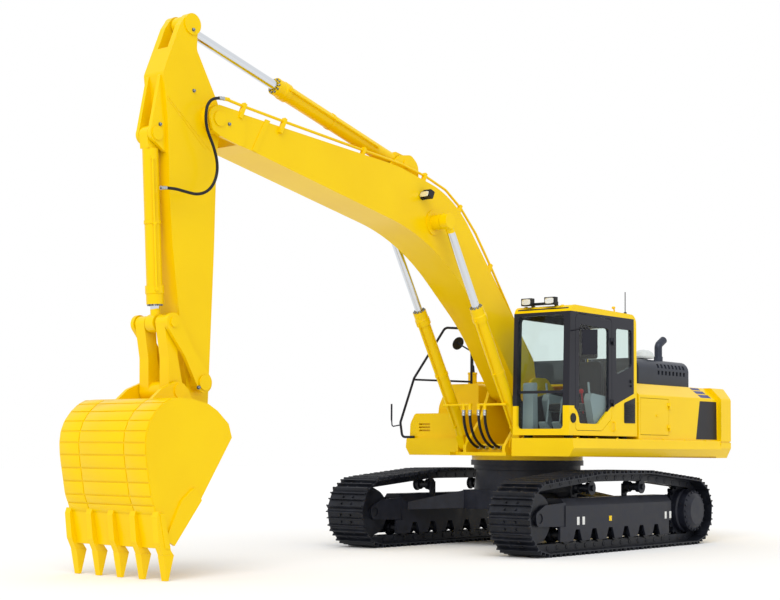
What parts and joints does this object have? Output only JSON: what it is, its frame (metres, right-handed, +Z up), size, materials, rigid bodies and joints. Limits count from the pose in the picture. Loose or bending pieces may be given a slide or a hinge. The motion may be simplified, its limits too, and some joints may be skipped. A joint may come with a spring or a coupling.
{
  "type": "crawler excavator",
  "caption": "Hydraulic excavator on steel tracks with a slewing body, cab, counterweight, curved boom, arm and toothed digging bucket moved by cylinders.",
  "frame": {"origin": "on the ground under the slewing axis", "axes": "+X forward along the boom at rest, +Y to the cab's side, +Z up"},
  "size_m": [10.7959, 3.6021, 5.7986],
  "materials": {
    "aluminium_core": "finned",
    "black_paint": "satin",
    "chrome_rod": "hard chrome, ground",
    "dark_frame_paint": "satin, dusty",
    "dark_plastic": "moulded, grained",
    "exhaust_steel": "heat-dulled",
    "grey_paint": "satin",
    "hose_rubber": "matte",
    "pale_plastic": "moulded, matte",
    "seat_cloth": "woven",
    "track_steel": "cast and rolled steel, dark, worn at the grousers",
    "window_glass": "tinted, clear",
    "yellow_paint": "semi-gloss enamel"
  },
  "bodies": {
    "undercarriage": {"centre_frame": "dark_frame_paint", "slew_ring": "track_steel", "track_left": "track_steel", "track_right": "track_steel", "track_frames": "dark_frame_paint", "roller_guards": "dark_frame_paint", "track_rollers": "track_steel", "idlers": "track_steel", "sprockets": "track_steel", "final_drives": "dark_frame_paint"},
    "house": {"revolving_frame": "yellow_paint", "frame_pins": "yellow_paint", "cab_shell": "yellow_paint", "cab_glass": "window_glass", "cab_mounts": "hose_rubber", "seat_base": "black_paint", "seat_cushion": "seat_cloth", "seat_back": "seat_cloth", "cab_consoles": "dark_plastic", "left_side_body": "yellow_paint", "right_side_body": "yellow_paint", "radiator": "aluminium_core", "hydraulic_tank": "yellow_paint", "fuel_tank": "yellow_paint", "toolbox": "yellow_paint", "engine_block": "grey_paint", "hood_deck": "yellow_paint", "counterweight": "yellow_paint", "cab_lamps": "dark_plastic", "handrail": "black_paint", "mirrors": "dark_plastic", "cab_antenna": "dark_plastic", "base_hoses": "hose_rubber"},
    "cab_door": {"cab_door": "yellow_paint", "cab_door_glass": "window_glass"},
    "engine_hood": {"engine_hood": "grey_paint", "exhaust_pipe": "exhaust_steel", "air_precleaner": "pale_plastic"},
    "left_side_door": {"left_side_door": "yellow_paint"},
    "right_side_door": {"right_side_door": "yellow_paint"},
    "boom": {"boom": "yellow_paint", "boom_pins": "yellow_paint", "boom_pipes": "yellow_paint", "boom_lamp": "dark_plastic"},
    "boom_cylinder_barrels": {"boom_cylinder_barrels": "yellow_paint"},
    "boom_cylinder_rods": {"boom_cylinder_rods": "chrome_rod"},
    "arm_cylinder_barrel": {"arm_cylinder_barrel": "yellow_paint"},
    "arm_cylinder_rod": {"arm_cylinder_rod": "chrome_rod"},
    "arm": {"arm": "yellow_paint", "arm_pins": "yellow_paint", "arm_hose": "hose_rubber"},
    "bucket_cylinder_barrel": {"bucket_cylinder_barrel": "yellow_paint"},
    "bucket_cylinder_rod": {"bucket_cylinder_rod": "chrome_rod"},
    "rocker_links": {"rocker_links": "yellow_paint"},
    "bucket_link": {"bucket_link": "yellow_paint"},
    "bucket": {"bucket_shell": "yellow_paint", "bucket_teeth": "yellow_paint", "bucket_ear_pin": "yellow_paint"}
  },
  "joints": [
    {"name": "swing", "type": "hinge", "parent": "undercarriage", "child": "house", "pos_m": [0, 0, 1.149], "axis": [0, 0, 1], "continuous": true},
    {"name": "boom", "type": "hinge", "parent": "house", "child": "boom", "pos_m": [0.2, 0, 2.06], "axis": [0, -1, 0], "range_deg": [-73, 27]},
    {"name": "boom_barrel_swing", "type": "hinge", "parent": "house", "child": "boom_cylinder_barrels", "pos_m": [0.791, 0, 1.375], "axis": [0, -1, 0], "range_deg": [-75, 28], "deforming": ["base_hoses"]},
    {"name": "boom_rod_slide", "type": "slide", "parent": "boom_cylinder_barrels", "child": "boom_cylinder_rods", "axis": [0.5135, 0, 0.8581], "range_m": [-1.006, 0.373]},
    {"name": "arm", "type": "hinge", "parent": "boom", "child": "arm", "pos_m": [6.09399, 0, 4.72867], "axis": [0, 1, 0], "range_deg": [-75, 35], "deforming": ["arm_hose"]},
    {"name": "arm_barrel_swing", "type": "hinge", "parent": "boom", "child": "arm_cylinder_barrel", "pos_m": [2.8288, 0, 4.76623], "axis": [0, 1, 0], "range_deg": [-6, 3]},
    {"name": "arm_rod_slide", "type": "slide", "parent": "arm_cylinder_barrel", "child": "arm_cylinder_rod", "axis": [0.9681, 0, 0.2505], "range_m": [-1.164, 0.544]},
    {"name": "bucket", "type": "hinge", "parent": "arm", "child": "bucket", "pos_m": [6.27289, 0, 1.5487], "axis": [0, 1, 0], "range_deg": [-6, 145]},
    {"name": "rocker_swing", "type": "hinge", "parent": "arm", "child": "rocker_links", "pos_m": [6.25913, 0, 1.95357], "axis": [0, 1, 0], "range_deg": [-5, 101]},
    {"name": "link_swing", "type": "hinge", "parent": "bucket", "child": "bucket_link", "pos_m": [6.59989, 0, 1.8597], "axis": [0, 1, 0], "range_deg": [-95, 5]},
    {"name": "bucket_barrel_swing", "type": "hinge", "parent": "arm", "child": "bucket_cylinder_barrel", "pos_m": [6.80945, 0, 4.47346], "axis": [0, 1, 0], "range_deg": [-7, 1]},
    {"name": "bucket_rod_slide", "type": "slide", "parent": "bucket_cylinder_barrel", "child": "bucket_cylinder_rod", "axis": [-0.0613, 0, -0.9981], "range_m": [-0.048, 1.121]},
    {"name": "cab_door", "type": "hinge", "parent": "house", "child": "cab_door", "pos_m": [0.126, 1.436, 1.7], "axis": [0, 0, 1], "range_deg": [0, 165]},
    {"name": "left_side_door", "type": "hinge", "parent": "house", "child": "left_side_door", "pos_m": [-1.34, 1.445, 1.7], "axis": [0, 0, 1], "range_deg": [0, 110]},
    {"name": "right_side_door", "type": "hinge", "parent": "house", "child": "right_side_door", "pos_m": [-2.24, -1.445, 1.7], "axis": [0, 0, -1], "range_deg": [0, 110]},
    {"name": "engine_hood", "type": "hinge", "parent": "house", "child": "engine_hood", "pos_m": [-2.636, 0, 2.216], "axis": [0, -1, 0], "range_deg": [0, 60]}
  ],
  "couplings": [
    {"joint": "boom_barrel_swing", "follows": "boom", "ratio": 1.0258},
    {"joint": "boom_rod_slide", "follows": "boom", "m_per_rad": 0.7876},
    {"joint": "arm_barrel_swing", "follows": "arm", "ratio": 0.0598},
    {"joint": "arm_rod_slide", "follows": "arm", "m_per_rad": 0.8784},
    {"joint": "rocker_swing", "follows": "bucket", "ratio": 0.6903},
    {"joint": "link_swing", "follows": "bucket", "ratio": -0.649},
    {"joint": "bucket_barrel_swing", "follows": "bucket", "ratio": -0.0378},
    {"joint": "bucket_rod_slide", "follows": "bucket", "m_per_rad": 0.4417}
  ]
}
